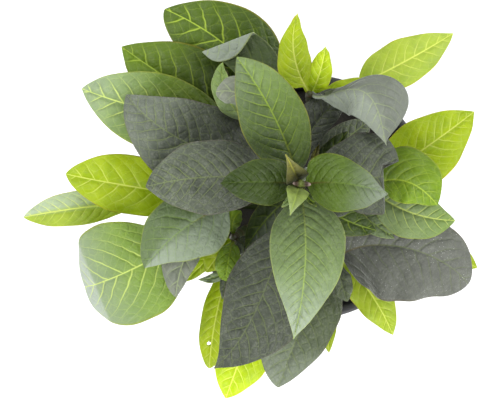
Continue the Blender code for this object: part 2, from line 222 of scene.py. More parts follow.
# Half of its section, radius and height in millimetres: under the base, up the outside, round
# the collar and the lip, and down the inside to the floor.
POT_PROFILE = [
    (0, 0.9), (27.6, 0.9), (28.4, 0.25), (29.2, 0.0), (29.9, 0.2), (31.0, 1.8),
    (43.1, 61.4), (43.4, 62.1), (44.2, 62.8), (44.4, 63.4), (44.4, 69.5), (44.7, 70.2),
    (45.9, 70.6), (46.4, 70.9), (46.5, 71.3), (46.3, 71.8), (45.7, 72.0), (44.1, 72.0),
    (43.5, 71.8), (43.1, 71.2), (43.1, 63.6), (42.7, 62.9), (41.9, 61.8),
    (29.8, 1.8), (29.2, 1.6), (0, 1.6),
]
pot = keep("nursery_pot", turned(POT_PROFILE), pot_plastic)
drill_shape = bmesh.new()
for number in range(DRAIN_HOLES):
    turn = math.tau * number / DRAIN_HOLES
    made = bmesh.ops.create_cone(
        drill_shape,
        cap_ends=True,
        segments=32,
        radius1=DRAIN_RADIUS * MM,
        radius2=DRAIN_RADIUS * MM,
        depth=8 * MM,
    )
    bmesh.ops.translate(
        drill_shape,
        verts=made["verts"],
        vec=Vector((math.cos(turn), math.sin(turn), 0)) * DRAIN_CIRCLE * MM,
    )
drill = placed("drain_drill", drill_shape)
holes = pot.modifiers.new("Drain holes", "BOOLEAN")
holes.operation = "DIFFERENCE"
holes.solver = "EXACT"
holes.object = drill
bpy.context.view_layer.update()
cut = bpy.data.meshes.new_from_object(pot.evaluated_get(bpy.context.evaluated_depsgraph_get()))
pot.modifiers.remove(holes)
pot.data = cut
bpy.data.objects.remove(drill)
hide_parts("pot")


# Growing medium.
# A damp plug of dark fibre that fills the pot to a centimetre under the rim. Its top is
# torn and lumpy; it holds every shoot by the foot.
MEDIUM_TOP = 61.8
MEDIUM_RIM = 40.2
RING_STEP = 1.4

# Pressed coconut fibre, damp: rough, with dull brown strands over a near-black that is
# partly painted shade under the leaves.
medium_fibre, tree, shader = finish_named("damp_dark_plug_fibre")
where = place_in(tree)
strands = clouds(tree, where, 900.0, 5.0, Distortion=2.2)
tree.links.new(blend(tree, strands, "#0B0A09", "#2A251F"), shader.inputs["Base Color"])
tree.links.new(ramp(tree, clouds(tree, where, 170.0, 4.0), 0, 1, 0.7, 1.0), shader.inputs["Roughness"])
tree.links.new(bump(tree, strands, 0.9, 0.0005), shader.inputs["Normal"])

PLUG_PROFILE = [(0, 2.0), (28.4, 2.0), (29.4, 3.0), (41.1, 60.3), (MEDIUM_RIM, MEDIUM_TOP)]
PLUG_PROFILE += [(MEDIUM_RIM - RING_STEP * ring, MEDIUM_TOP) for ring in range(1, 28)] + [(0, MEDIUM_TOP)]
plug = turned(PLUG_PROFILE)
for vert in plug.verts:
    if vert.co.z > (MEDIUM_TOP - 0.9) * MM:
        # Clods almost a centimetre across with crumbs on them, flatter by the wall of the pot.
        spot = Vector((vert.co.x, vert.co.y, 0))
        lump = noise.fractal(spot * 130, 1.0, 2.0, 3) * 1.1 + noise.noise(spot * 600) * 0.45
        from_wall = min(max((MEDIUM_RIM + 0.1 - spot.length / MM) / 3, 0), 1)
        vert.co.z += (lump - 0.3) * MM * (0.3 + 0.7 * from_wall)
medium = keep("fibre_plug", plug, medium_fibre)
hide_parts("growing_medium")


# Stems.
# Ten soft round green shoots, slightly squared, with a swollen joint wherever a pair of
# leaves leaves them. Each stands in the plug and leans outwards to the light.
STEM_FOOT_RADIUS = 2.0
STEM_TOP_RADIUS = 1.3
STEM_SIDES = 14
STEM_RINGS = 44
FOOT_CLEARANCE = 0.3
FOOT_SUNK = 2.0
JOINT_SWELLING = 0.35
JOINT_HALF_HEIGHT = 1.6
SQUARENESS = 0.05


def along(points, share):
    """Point on the smooth curve through the points, share from 0 at the first to 1 at the last."""
    knots = [0.0]
    for start, end in zip(points, points[1:]):
        knots.append(knots[-1] + (end - start).length)
    whole = knots[-1]
    place = Vector((0, 0, 0))
    for number, point in enumerate(points):
        weight = 1.0
        for other, knot in enumerate(knots):
            if other != number:
                weight *= (share * whole - knot) / (knots[number] - knot)
        place += point * weight
    return place


# Young stem skin: smooth and juicy, green, browner at the joints, with a soft wet gloss.
# Its green is kept darker than its own as painted shade, for the stems stand under the leaves.
stem_skin, tree, shader = finish_named("juicy_green_stem_skin")
joint = add(tree, "ShaderNodeAttribute", attribute_name="joint").outputs["Fac"]
flecks = clouds(tree, place_in(tree), 700.0, 3.0)
green = blend(tree, flecks, "#1C2610", "#37461A")
tree.links.new(blend(tree, joint, green, "#3A2E1A"), shader.inputs["Base Color"])
tree.links.new(bump(tree, flecks, 0.2, 0.0001), shader.inputs["Normal"])
shader.inputs["Roughness"].default_value = 0.42
shader.inputs["IOR"].default_value = 1.45

stems = {}


def stem(name, foot, *points, joint_heights):
    """A shoot from its foot in the plug through the points of its axis, swollen at its joints."""
    axis = [Vector((foot[0], foot[1], MEDIUM_TOP))] + [Vector(point) for point in points]
    start = (along(axis, 0.02) - axis[0]).normalized()
    axis[0].z += FOOT_CLEARANCE + STEM_FOOT_RADIUS * math.hypot(start.x, start.y)
    stems[name] = axis
    shape = bmesh.new()
    swelling = shape.verts.layers.float.new("joint")
    ring = bmesh.ops.create_circle(shape, cap_ends=True, segments=STEM_SIDES, radius=1)["verts"]
    flat = [vert.co.copy() for vert in ring]
    edges = list(shape.edges)
    for number in range(STEM_RINGS + 1):
        share = number / STEM_RINGS
        if number:
            made = bmesh.ops.extrude_edge_only(shape, edges=edges)["geom"]
            ring = [item for item in made if isinstance(item, bmesh.types.BMVert)]
            edges = [item for item in made if isinstance(item, bmesh.types.BMEdge)]
        here = along(axis, share)
        if number == 0:
            here = here - start * FOOT_SUNK
        ahead = (along(axis, min(share + 0.01, 1)) - along(axis, max(share - 0.01, 0))).normalized()
        across = Vector((1, 0, 0)).cross(ahead).normalized()
        beside = ahead.cross(across)
        swell = max(math.exp(-(((here.z - height) / JOINT_HALF_HEIGHT) ** 2)) for height in joint_heights)
        radius = STEM_FOOT_RADIUS + (STEM_TOP_RADIUS - STEM_FOOT_RADIUS) * share + JOINT_SWELLING * swell
        if name != "centre":
            # The side shoots close in a blunt point; the centre one carries the bud.
            radius *= 1 - 0.75 * max((share - 0.93) / 0.07, 0) ** 2
        for vert, place in zip(ring, flat):
            turn = math.atan2(place.y, place.x)
            squared = radius * (1 + SQUARENESS * math.cos(4 * turn))
            vert.co = (here + (across * math.cos(turn) + beside * math.sin(turn)) * squared) * MM
            vert[swelling] = swell
    top = bmesh.ops.contextual_create(shape, geom=edges)["faces"]
    bmesh.ops.poke(shape, faces=top)
    bmesh.ops.recalc_face_normals(shape, faces=shape.faces)
    piece = keep("shoot_" + name, shape, stem_skin)
    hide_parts("stem_" + name)


stem(
    "centre", (-2, 2), (-4, 3, 110), (-5.5, 4.4, 161.5),
    joint_heights=(78, 92, 105, 119, 131, 145, 153, 158.5),
)
stem("north_east", (3, 27), (0.5, 33, 95), (-1.5, 36.5, 130), joint_heights=(80, 101, 112, 120, 128))
stem("east", (14, 4.5), (18.5, 3.5, 90), (20, 4, 118), joint_heights=(74, 84, 105, 110, 117))
stem("south_east", (5.5, -13.5), (8.5, -20, 84), (9.5, -22.5, 106), joint_heights=(76, 82, 93, 98, 104))
stem("south", (-7, -20.5), (-12.5, -29.5, 70), (-15.5, -35, 78), joint_heights=(70, 76))
stem("south_west", (-18, -10.5), (-25.5, -13, 90), (-28.5, -15, 111), joint_heights=(72, 84, 96, 105, 109))
stem("west", (-14.5, 0.5), (-24, -1.5, 95), (-27.5, -2, 127.5), joint_heights=(78, 92, 105, 112, 125))
stem("far_west", (-18, -3), (-32, -2, 84), (-41, -1, 98), joint_heights=(76, 88, 96))
stem("north_west", (-11.5, 17.5), (-20, 24, 100), (-21.5, 27, 137), joint_heights=(80, 105, 113, 125, 135))
stem("north", (-5, 22), (-10.5, 33, 90), (-14, 38, 114), joint_heights=(76, 99, 110))


# Leaves.
# Each is one thin soft blade on a short stalk. Its midrib is a groove above and a keel below;
# the side veins lie in furrows and the blade bulges up between them like a quilt. It grows out
# of a joint of its shoot's stem.
def leaf_skin(
    name, panel, deep, vein, light_through, through=0.16, roughness=0.44, wax=0.0, net=0.25, veins=0.6,
    main=0.9, relief=1.0, furrow_tone_and_shade=0.45, painted_cell_highlight=0.06, dust=0.0, brown=0.0, rim=None,
):
    """
    Living leaf, dull waxy skin over green tissue. panel and deep are its lighter and darker greens,
    vein the colour of its veins, light_through the tone and through the share of the light that
    comes up through it, wax how strong the pale sheen of its wax is at a low angle, net, veins and
    main how clear the small veins, the side veins and the midrib are, relief how proud its cells
    stand, furrow how dark the tissue is down beside the side veins, partly its own tone and partly
    painted shade, frost how bright the painted highlights are on top of its cells, dust how clear
    its lime specks are, brown how red-brown the foot of its midrib is, rim the colour of its
    margin. Lengths on the blade are in centimetres.
    """
    material, tree, shader = finish_named(name)

    def layer(attribute):
        """A layer that the blade's mesh carries, whole and in its three parts."""
        whole = add(tree, "ShaderNodeAttribute", attribute_name=attribute).outputs["Vector"]
        return whole, add(tree, "ShaderNodeSeparateXYZ", {0: whole}).outputs

    def times(first, second):
        return maths(tree, "MULTIPLY", first, second)

    def warped(under, amount):
        """Place on the blade, shifted about by an uneven pattern."""
        inputs = {0: warp, 1: amount, 2: under}
        return add(tree, "ShaderNodeVectorMath", inputs, operation="MULTIPLY_ADD").outputs[0]

    def net_of(where, scale, randomness, dimensions):
        """Distance to the nearest wall of a net of cells."""
        inputs = {"Vector": where, "Scale": scale, "Randomness": randomness}
        settings = {"voronoi_dimensions": dimensions, "feature": "DISTANCE_TO_EDGE"}
        return add(tree, "ShaderNodeTexVoronoi", inputs, **settings).outputs["Distance"]

    blade, (distance, offset, seed) = layer("blade")
    _, (phase, margin, share) = layer("ribs")
    # The tone layer darkens and lightens the leaf (its own tone, and painted shade and light), greys it
    # (painted sheen, and the real pallor of a folded underside) and yellows it (a painted glow of light
    # coming up through the blade).
    _, (depth, painted_sheen_and_pallor, lime) = layer("tone")

    # Side veins are about half a millimetre wide by the midrib and thin out towards the margin.
    from_vein = maths(tree, "PINGPONG", phase, 0.5)
    vein_width = ramp(tree, margin, 0, 1, 0.095, 0.05)
    side_fade = ramp(tree, margin, 0.35, 0.9, 1.0, 0.15)
    side_vein = times(ramp(tree, from_vein, 0, vein_width, veins, 0, smooth=True), side_fade)
    # The midrib is a millimetre wide at its foot and less than half of that at the tip.
    off_middle = maths(tree, "ABSOLUTE", offset)
    on_middle = ramp(tree, off_middle, 0, ramp(tree, share, 0, 1, 0.05, 0.022), 1, 0, smooth=True)
    # Cross veins run every four millimetres or so from one side vein to the next.
    forward = maths(tree, "ADD", distance, off_middle)
    step_on = maths(tree, "MULTIPLY_ADD", forward, 2.3, seed)
    lanes = add(tree, "ShaderNodeCombineXYZ", {0: maths(tree, "ADD", phase, 0.72), 1: step_on}).outputs[0]
    warp = add(tree, "ShaderNodeTexNoise", {"Vector": blade, "Scale": 7.0, "Detail": 2.0}).outputs["Color"]
    cells = net_of(warped(lanes, (0.22, 0.3, 0.0)), 1.0, 0.6, "2D")
    small_vein = ramp(tree, cells, 0, 0.075, net, 0, smooth=True)
    # The finest net closes cells of a millimetre and shows as a pebbled skin.
    pebbles = net_of(warped(blade, (0.12, 0.12, 0.0)), 9.0, 1.0, "3D")
    veined = maths(tree, "MAXIMUM", side_vein, times(on_middle, main))
    veined = maths(tree, "MAXIMUM", veined, small_vein)
    # Tissue: darker in patches, and down beside the veins partly in its own tone and partly as
    # painted shade; then a painted glow in lime, and painted sheen in grey with the pallor of any
    # folded underside.
    patches = clouds(tree, blade, 1.4, 4.0, Roughness=0.55)
    # Painted shade in the furrows beside the side veins, over the tissue's own darker tone there.
    furrow_tone_and_shade_mask = times(ramp(tree, from_vein, 0.03, 0.2, furrow_tone_and_shade, 0), side_fade)
    light_part = maths(tree, "SUBTRACT", ramp(tree, patches, 0.2, 0.6), furrow_tone_and_shade_mask, clamp=True)
    colour = blend(tree, light_part, deep, panel)
    colour = blend(tree, lime, colour, "#7FA01A")
    colour = blend(tree, painted_sheen_and_pallor, colour, "#939C90")
    # Painted highlights: pale grey-green on top of the millimetre cells, in uneven patches, where
    # the sheen of the lamps catches each small bump.
    thick = ramp(tree, clouds(tree, blade, 3.2, 3.0), 0.34, 0.66, 0.1, 1.0)
    colour = blend(tree, times(ramp(tree, pebbles, 0.01, 0.14, 0, painted_cell_highlight), thick), colour, "#A6AC99")
    colour = blend(tree, veined, colour, vein)
    if rim:
        colour = blend(tree, ramp(tree, margin, 0.955, 0.995, 0, 0.75), colour, rim)
    if brown:
        colour = blend(tree, times(ramp(tree, share, 0, 0.4, brown, 0), on_middle), colour, "#5E3E24")
    if dust:
        # Lime specks dried on the blade, a quarter of a millimetre across.
        specks = add(tree, "ShaderNodeTexVoronoi", {"Vector": blade, "Scale": 12.0}).outputs["Distance"]
        some = maths(tree, "GREATER_THAN", patches, 0.52)
        colour = blend(tree, times(ramp(tree, specks, 0.17, 0.07, 0, dust), some), colour, "#C4C8C0")
    # Darker or lighter all over, veins and all, by the leaf's depth: partly its own tone, partly
    # painted shade where it lies under other leaves and painted light where it is lit through.
    tree.links.new(blend(tree, 1.0, colour, depth, mode="MULTIPLY"), shader.inputs["Base Color"])

    # Skin: veins sunken, cells slightly proud, and a very fine even grain.
    groove = times(ramp(tree, from_vein, 0, 0.22, smooth=True), side_fade)
    skin = bump(tree, groove, 0.7, 0.00018 * relief)
    skin = bump(tree, ramp(tree, cells, 0, 0.3, smooth=True), 0.7, 0.0001 * relief, skin)
    skin = bump(tree, ramp(tree, pebbles, 0, 0.4), 0.5, 0.00012 * relief, skin)
    skin = bump(tree, clouds(tree, blade, 42.0, 3.0), 0.3, 0.00006, skin)
    tree.links.new(skin, shader.inputs["Normal"])
    dull = ramp(tree, patches, 0.3, 0.7, roughness - 0.06, roughness + 0.08)
    tree.links.new(dull, shader.inputs["Roughness"])
    shader.inputs["IOR"].default_value = 1.4
    shader.inputs["Specular IOR Level"].default_value = 0.36
    shader.inputs["Sheen Weight"].default_value = wax
    shader.inputs["Sheen Roughness"].default_value = 0.5
    shader.inputs["Sheen Tint"].default_value = from_hex("#E4E6E2")
    glow = add(tree, "ShaderNodeBsdfTranslucent", {"Color": from_hex(light_through), "Normal": skin})
    thin = add(tree, "ShaderNodeMixShader", {0: through, 1: shader.outputs[0], 2: glow.outputs[0]})
    tree.links.new(thin.outputs[0], tree.nodes["Material Output"].inputs["Surface"])
    return material


# Each kind of leaf: its slot in the part and its material.
SKINS = {
    # Old and shaded: tough, hardly lit through, a dull dark grey-green, whitened by its wax and by
    # painted highlights on its cells.
    "dark": ("leaf_dark_grey_green", leaf_skin(
        "old_leaf_dark_grey_green", panel="#464D3E", deep="#2C3326", vein="#76854A",
        light_through="#5F7030", through=0.06, roughness=0.42, wax=0.25, net=0.3, main=0.5, relief=1.9,
        furrow_tone_and_shade=0.4, painted_cell_highlight=0.16, brown=0.3, rim="#5C5A46",
    )),
    # Grown in good light: quilted satin green with a fine pale margin.
    "green": ("leaf_mid_green", leaf_skin(
        "grown_leaf_green", panel="#384C0C", deep="#273A08", vein="#8CA62C", light_through="#7C9A16",
        net=0.16, veins=0.55, main=0.7, relief=1.8, painted_cell_highlight=0.08, brown=0.6, rim="#8C8C34",
    )),
    # Full-grown and smoother: deep satin green, on which the light veins stand out.
    "veined": ("leaf_mid_green", leaf_skin(
        "open_leaf_green", panel="#384C0C", deep="#273A08", vein="#A4BC3C", light_through="#7C9A16",
        net=0.15, veins=0.8, main=0.95, relief=1.4, furrow_tone_and_shade=0.3, painted_cell_highlight=0.05, rim="#98902C",
    )),
    # Near the top: quilted satin green, its veins hardly lighter than the blade.
    "upper": ("leaf_mid_green", leaf_skin(
        "upper_leaf_green", panel="#384C0C", deep="#273A08", vein="#6E8A28", light_through="#7C9A16",
        net=0.14, veins=0.36, main=0.35, relief=1.8, furrow_tone_and_shade=0.35, brown=0.95, rim="#7D8A2E",
    )),
    # Thin and fresh: a clear light green with some light coming up through it.
    "lime_green": ("leaf_lime_green", leaf_skin(
        "light_leaf_green", panel="#668010", deep="#44600C", vein="#B0C440", light_through="#9CC020",
        through=0.22, wax=0.05, net=0.18, veins=0.4, main=0.55, furrow_tone_and_shade=0.25, rim="#98A038",
    )),
    # The thinnest: yellow-green, as the white table shines through it; its bright yellow-green is
    # partly a painted glow of that light.
    "lime": ("leaf_lime", leaf_skin(
        "thin_leaf_lime", panel="#A0B00C", deep="#809608", vein="#DCE070", light_through="#C4DC18",
        through=0.36, roughness=0.46, net=0.18, veins=0.65, main=0.85, relief=0.7, furrow_tone_and_shade=0.12,
        rim="#C4B040",
    )),
    # Thin and smooth: a soft light green between clear yellowish veins.
    "veined_pale": ("leaf_lime_green", leaf_skin(
        "open_leaf_pale_green", panel="#668010", deep="#4C680C", vein="#C8D870", light_through="#9CC020",
        through=0.22, wax=0.05, net=0.12, veins=0.7, relief=1.6, furrow_tone_and_shade=0.25, painted_cell_highlight=0.08, rim="#98A038",
    )),
    # Strongly quilted and waxy: a pale matt green, whiter at a low angle.
    "pale": ("leaf_pale_green", leaf_skin(
        "quilted_leaf_pale_green", panel="#687E42", deep="#445A26", vein="#9CB454", light_through="#98B438",
        wax=0.2, net=0.15, main=0.7, relief=2.0, furrow_tone_and_shade=0.4, painted_cell_highlight=0.12, brown=0.45, rim="#9AA85A",
    )),
    # Thickly waxed: a dull grey-green whose silvery grey is partly painted sheen, the pale
    # reflection of the lamps on its wax.
    "silver": ("leaf_silver_green", leaf_skin(
        "waxy_leaf_grey_green_painted_sheen", panel="#747966", deep="#5A6250", vein="#A8B880", light_through="#82964A",
        through=0.1, roughness=0.4, wax=0.45, net=0.2, main=0.7, relief=1.1, furrow_tone_and_shade=0.25, painted_cell_highlight=0.1,
    )),
    # Old and leathery: nearly opaque dark grey, sprinkled with dried white lime.
    "dusty": ("leaf_dark_grey_green", leaf_skin(
        "old_leaf_dusty", panel="#585A53", deep="#484A44", vein="#616C44", light_through="#5A6B32",
        through=0.06, roughness=0.46, wax=0.35, net=0.16, veins=0.5, main=0.7, relief=1.6, furrow_tone_and_shade=0.3,
        painted_cell_highlight=0.12, dust=0.9, brown=0.7, rim="#5C5440",
    )),
    # Just unfolded: soft olive bronze, still almost without wax.
    "bronze": ("leaf_bronze_green", leaf_skin(
        "youngest_leaf_bronze", panel="#5A5A24", deep="#30280F", vein="#8A8A34", light_through="#7E8A2C",
        through=0.12, roughness=0.45, wax=0.1, net=0.1,
    )),
    # Just unfolded: soft and milky pale green.
    "young": ("leaf_pale_green", leaf_skin(
        "youngest_leaf_pale", panel="#94A852", deep="#6E7C3E", vein="#A8BE5A", light_through="#A2B850",
        through=0.18, roughness=0.45, wax=0.1, net=0.1,
    )),
}

# Lengths in millimetres. The stagger is a share of the distance from one side vein to the next.
LEAF_THICKNESS = 0.36
RIB_THICKNESS = 1.5
RIB_HALF_WIDTH = 0.8
GROOVE_DEPTH = 0.28
TIP_HALF_WIDTH = 0.12
GROWN = {"rows": 100, "columns": 40, "stalk_half_width": 0.9, "stoutness": 1.0}
LITTLE = {"rows": 44, "columns": 16, "stalk_half_width": 0.7, "stoutness": 0.7}
CURL_STEPS = 10
MIDRIB_STEPS = 80
SIDE_STAGGER = 0.35
CREASE_RADIUS = 0.8
CREASE_TURN = math.radians(168)
BEND_RADIUS = 2.5
BEND_TURN = math.radians(40)
TEAR_MARGIN = 3.0
UNDERSIDE_TONE = Vector((0.35, 0.75, 0))


def eased(value, low, high):
    """Smooth step from 0 at low to 1 at high."""
    share = min(max((value - low) / (high - low), 0), 1)
    return share * share * (3 - 2 * share)


def both(value):
    """Values of a leaf's left and right halves, from a pair or from one for the two."""
    return value if isinstance(value, tuple) else (value, value)


def blade_share(share, belly):
    """Half width of a blade as a share of its widest, share from 0 at its base to 1 at its tip."""
    if share <= 0 or share >= 1:
        return 0.0
    rising = (share / belly) ** (1.7 * belly)
    falling = ((1 - share) / (1 - belly)) ** (1.7 * (1 - belly))
    return rising * falling


def side_of(line):
    """Start of a line (x, y to x, y), its direction, and the direction away from it to the left."""
    ahead = Vector((line[2] - line[0], line[3] - line[1], 0)).normalized()
    return Vector((line[0], line[1], 0)), ahead, Vector((-ahead.y, ahead.x, 0))


def folded_over(place, line, radius, most):
    """
    Place of a point once all beyond the line, left of it, has been folded over it by the angle most,
    round a bend of the radius: up if the radius is positive, down if it is negative.
    """
    start, _, out = side_of(line)
    beyond = (Vector((place.x, place.y, 0)) - start).dot(out)
    if beyond <= 0:
        return place
    turn = min(beyond / abs(radius), most)
    rest = beyond - turn * abs(radius)
    reach = abs(radius) * math.sin(turn) + rest * math.cos(turn)
    lift = abs(radius) * (1 - math.cos(turn)) + rest * math.sin(turn)
    return place + out * (reach - beyond) + Vector((0, 0, math.copysign(lift, radius)))


def torn_off(place, line):
    """Place of a point once the blade ends at the line, left of it, from where the line starts."""
    start, ahead, out = side_of(line)
    offset = Vector((place.x, place.y, 0)) - start
    beyond = offset.dot(out) + TEAR_MARGIN
    if beyond <= 0 or offset.dot(ahead) < 0:
        return place
    kept = TEAR_MARGIN * (1 - math.exp(-beyond / TEAR_MARGIN))
    return place + out * (kept - beyond)


def share_at(axis, height):
    """How far along a stem's axis it reaches a height, as a share of its length."""
    low = 0.0
    high = 1.0
    for _ in range(30):
        middle = (low + high) / 2
        if along(axis, middle).z < height:
            low = middle
        else:
            high = middle
    return low


def leaf(
    shoot, number, kind, joint_height, midrib, width, stalk=3, belly=0.5, power=1.0, fold=12.0,
    curl=26.0, span=4.0, spacing=5.2, quilt=0.32, wave=0.5, crease=None, bent=None, torn=None,
    hole=None, small=False, own=True, depth=(1.0, 1.0), painted_sheen_and_pallor=(0.0, 0.0), lime=(0.0, 0.0),
):
    """
    Leaf of a shoot, of one of the kinds above. joint_height is where it joins the stem, midrib the
    points its midrib then passes, width the widest of the blade (or of its left and right halves),
    stalk the length without blade, belly the share of the blade where it is widest, power how
    pointed its outline is, fold the angle of each half against the midrib, curl how far each margin
    turns down, span how much of the midrib sets the way a point of it faces, spacing how far its
    side veins are apart, quilt how high the blade bulges between them, wave how far its margin
    undulates. crease, bent and torn are the lines (x, y to x, y) where the blade is folded over,
    bends down or has been torn off, hole the place and radius of a bite. small is a little leaf
    with a coarser mesh, own one that has a solid of its own in the part. depth darkens or lightens
    it, partly for its own tone and partly as painted shade and painted light; bloom greys it with
    painted sheen, the pale reflection of the lamps; lime yellows it with a painted glow of light
    coming up through it. Each goes from its foot to its tip, or from the foot to the tip of each
    half. Lengths are in millimetres and angles in degrees.
    """
    name = shoot + "_" + number
    chance = random.Random(name)
    size = LITTLE if small else GROWN
    on_stem = share_at(stems[shoot], joint_height)
    centre = along(stems[shoot], on_stem)
    radius = STEM_FOOT_RADIUS + (STEM_TOP_RADIUS - STEM_FOOT_RADIUS) * on_stem
    first = Vector(midrib[0])
    outward = Vector((first.x - centre.x, first.y - centre.y, 0)).normalized()
    line = [centre + outward * (radius - 0.5)] + [Vector(point) for point in midrib]
    halves = width if isinstance(width, tuple) else (width / 2, width / 2)
    bellies = both(belly)
    powers = both(power)
    folds = both(fold)
    curls = both(curl)
    tones = [part if isinstance(part[0], tuple) else (part, part) for part in (depth, painted_sheen_and_pallor, lime)]

    samples = [along(line, step / MIDRIB_STEPS) for step in range(MIDRIB_STEPS + 1)]
    run = [0.0]
    for start, end in zip(samples, samples[1:]):
        run.append(run[-1] + (end - start).length)
    length = run[-1]
    stalk = min(stalk, length * 0.4)

    def at(distance):
        """Point of the midrib at a distance from the stem."""
        distance = min(max(distance, 0), length)
        step = 0
        while step < MIDRIB_STEPS - 1 and run[step + 1] < distance:
            step += 1
        part = (distance - run[step]) / (run[step + 1] - run[step])
        return samples[step].lerp(samples[step + 1], part)

    rows = size["rows"]
    stalk_rows = rows // 10
    stations = [stalk * step / stalk_rows for step in range(stalk_rows)]
    for step in range(rows - stalk_rows + 1):
        # Rows crowd towards both ends of the blade, where its outline turns fastest.
        share = step / (rows - stalk_rows)
        share = 0.01 + 0.988 * (share - 0.04 * math.sin(math.tau * share))
        stations.append(stalk + (length - stalk) * share)
    frames = []
    for distance in stations:
        ahead = at(distance + span) - at(distance - span)
        heading = Vector((ahead.x, ahead.y, 0)).normalized()
        right = Vector((heading.y, -heading.x, 0))
        frames.append((at(distance), right, right.cross(ahead.normalized()).normalized()))

    shape = bmesh.new()
    bmesh.ops.create_grid(shape, x_segments=rows, y_segments=size["columns"], size=1)
    blade = shape.verts.layers.float_vector.new("blade")
    tone = shape.verts.layers.float_vector.new("tone")
    keel = shape.verts.layers.deform.new()
    ripple = [chance.uniform(0, math.tau) for _ in range(4)]
    crossing = {}
    for vert in shape.verts:
        row = round((vert.co.x + 1) / 2 * rows)
        distance = stations[row]
        place, right, up = frames[row]
        # Columns crowd towards the midrib, where the groove needs them.
        across = math.copysign(abs(vert.co.y) ** 1.25, -vert.co.y)
        outwards = abs(across)
        side = 0 if across < 0 else 1
        sign = -1 if across < 0 else 1
        share = (distance - stalk) / (length - stalk)
        half = halves[side] * blade_share(share, bellies[side]) ** powers[side]
        uneven = 0.012 * math.sin(9 * share + ripple[side]) + 0.008 * math.sin(23 * share + ripple[2 + side])
        half *= 1 + uneven
        half = max(half, size["stalk_half_width"] * (1 - eased(share, 0.0, 0.1)), TIP_HALF_WIDTH)
        from_middle = half * outwards

        # Each half stands up from the midrib and curls down again to its margin.
        opened = min(max(share / 0.25, 0), 1)
        bend = math.radians(curls[side]) * opened * half / halves[side]
        reach = 0.0
        lift = 0.0
        for step in range(CURL_STEPS):
            angle = math.radians(folds[side]) * opened - bend * (step + 0.5) / CURL_STEPS * outwards
            reach += math.cos(angle) * from_middle / CURL_STEPS
            lift += math.sin(angle) * from_middle / CURL_STEPS

        # Side veins leave the midrib steeply, then arch forward along the margin.
        out = from_middle / (0.55 * halves[side] + 0.45 * half)
        sweep = halves[side] * (0.65 * out + 0.28 * out ** 2 + 0.35 * out ** 4)
        phase = (distance - stalk - sweep) / spacing + (SIDE_STAGGER if sign > 0 else 0.0)
        phase += 0.22 * noise.noise(Vector((distance * 0.09, ripple[2 + side] * 5, 1.3)))
        phase += 0.1 * noise.noise(Vector((distance * 0.3, from_middle * 0.35 * sign, ripple[3] * 5)))

        # The blade bulges between them, dips along the midrib and undulates along its margin.
        bulge = 1 - (1 - abs(phase - round(phase)) * 2) ** 3.5
        shown = eased(share, 0.02, 0.12) * (1 - eased(share, 0.86, 1.0))
        spread = eased(outwards, 0.03, 0.25) * (1 - 0.85 * eased(outwards, 0.5, 0.95))
        lane = Vector((phase * spacing * 0.4, from_middle * sign * 0.5, ripple[1] * 3))
        height = quilt * bulge * shown * spread * (1 + 0.4 * noise.noise(lane))
        rib = math.exp(-((from_middle / RIB_HALF_WIDTH) ** 2))
        height -= GROOVE_DEPTH * rib * eased(share, 0.0, 0.1) * (1 - eased(share, 0.7, 1.0))
        height += wave * outwards ** 2 * shown * math.sin(3.1 * math.tau * share + ripple[side] * 2)
        height += wave * 0.6 * noise.noise(Vector((distance * 0.11, across * 1.7, ripple[0] * 9))) * shown
        face_up = (up * math.cos(angle) - right * math.sin(angle) * sign).normalized()
        spot = place + right * reach * sign + up * lift + face_up * height

        turned_over = 0.0
        margin = outwards
        if crease:
            flat_spot, spot = spot, folded_over(spot, crease, CREASE_RADIUS, CREASE_TURN)
            turned_over = 1.0 if (spot - flat_spot).length > 0.01 else 0.0
        # A bend down is lightened and greyed a little: painted sheen where the lamps catch the bend.
        if bent:
            flat_spot, spot = spot, folded_over(spot, bent, -BEND_RADIUS, BEND_TURN)
            turned_over = 0.35 * eased((spot - flat_spot).length, 0.05, 0.8)
        if torn:
            flat_spot, spot = spot, torn_off(spot, torn)
            gone = (spot - flat_spot).length
            if gone > 1:
                margin = max(outwards, 0.9 + 0.1 * eased(gone, 2.0, 4.5))
        vert.co = spot * MM
        crossing[vert.index] = (phase, margin, share, sign)

        tipward = eased(share, 0.05, 0.95)
        on_right = 0.5 + 0.5 * math.copysign(eased(outwards, 0.0, 0.25), across)
        tint = []
        for halves_tone, toward in zip(tones, (tipward, eased(share, 0.4, 1.0), tipward)):
            left_tone, right_tone = (foot + (tip - foot) * toward for foot, tip in halves_tone)
            tint.append((1 - on_right) * left_tone + on_right * right_tone)
        # Its paler underside shows where the blade has folded over; where it bends down, a share of
        # the same greying and lightening is painted sheen on the bend.
        vert[tone] = Vector(tint) + UNDERSIDE_TONE * turned_over
        vert[blade] = Vector((distance * 0.1, from_middle * sign * 0.1, ripple[1]))
        thick = rib * (1 - 0.85 * share) if share >= 0 else 1 - 0.25 * outwards
        vert[keel][0] = min(max(thick, 0), 1)

    ribs = shape.loops.layers.float_vector.new("ribs")
    for face in shape.faces:
        # Both ends of a face on the midrib count their veins as the same half of the blade does.
        balance = sum(crossing[vert.index][1] * crossing[vert.index][3] for vert in face.verts)
        sign = 1 if balance > 0 else -1
        for corner in face.loops:
            phase, margin, share, own_side = crossing[corner.vert.index]
            phase += SIDE_STAGGER * (sign - own_side) / 2
            corner[ribs] = Vector((phase, margin, min(max(share, 0), 1)))
    if hole:
        # A round bite right through the blade.
        bite = Vector((hole[0], hole[1])) * MM
        eaten = [face for face in shape.faces if (face.calc_center_median().xy - bite).length < hole[2] * MM]
        bmesh.ops.delete(shape, geom=eaten, context="FACES")

